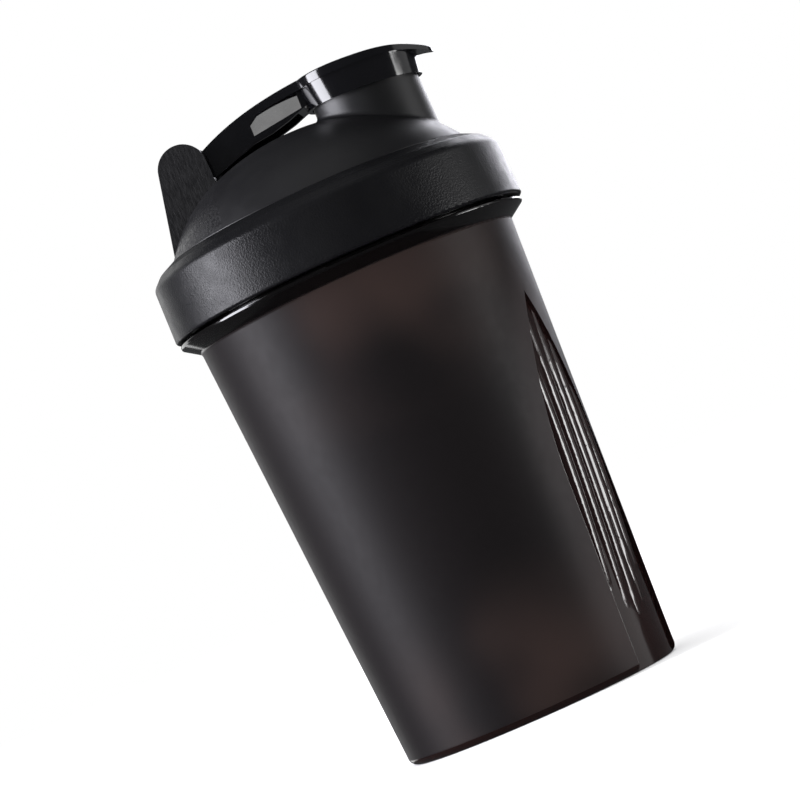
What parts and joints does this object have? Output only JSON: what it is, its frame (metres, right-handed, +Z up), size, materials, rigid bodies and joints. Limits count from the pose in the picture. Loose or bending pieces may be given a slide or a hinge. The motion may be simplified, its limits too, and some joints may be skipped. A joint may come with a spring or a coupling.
{
  "type": "protein shaker bottle",
  "caption": "Tapered shaker cup with a screwed domed lid, flip cap over a round spout, hinge ears, gasket and a loose wire whisk ball inside.",
  "frame": {"origin": "centre of the foot, on the surface that the cup stands on", "axes": "+Z up along the cup's axis, +X from the axis towards the drinking spout with the lid screwed shut"},
  "size_m": [0.0926, 0.0926, 0.1638],
  "materials": {
    "cup_plastic": "smoky translucent, frosted outside with clear strips",
    "collar_plastic": "fine leather grain, satin",
    "dome_plastic": "smooth matt",
    "gasket_silicone": "matt silicone",
    "cap_plastic": "high gloss",
    "pin_plastic": "satin",
    "plug_silicone": "soft matt",
    "ball_wire": "drawn stainless wire"
  },
  "bodies": {
    "cup": {"cup": "cup_plastic"},
    "gasket": {"lid_gasket": "gasket_silicone"},
    "lid": {"screw_collar": "collar_plastic", "lid_dome": "dome_plastic", "hinge_pin": "pin_plastic"},
    "cap": {"flip_cap": "cap_plastic", "spout_plug": "plug_silicone"},
    "ball": {"whisk_ball": "ball_wire"}
  },
  "joints": [
    {"name": "lid_lift", "type": "slide", "parent": "cup", "child": "gasket", "axis": [0, 0, 1], "range_m": [0, 0.0161]},
    {"name": "lid_turn", "type": "hinge", "parent": "gasket", "child": "lid", "pos_m": [0, 0, 0.12], "axis": [0, 0, 1], "range_deg": [0, 720]},
    {"name": "cap_flip", "type": "hinge", "parent": "lid", "child": "cap", "pos_m": [-0.0265, 0, 0.1555], "axis": [0, -1, 0], "range_deg": [0, 195]},
    {"name": "ball_rattle", "type": "slide", "parent": "cup", "child": "ball", "axis": [0, 0, 1], "range_m": [0, 0.09]}
  ],
  "couplings": [
    {"joint": "lid_lift", "follows": "lid_turn", "m_per_rad": 0.0012732}
  ]
}
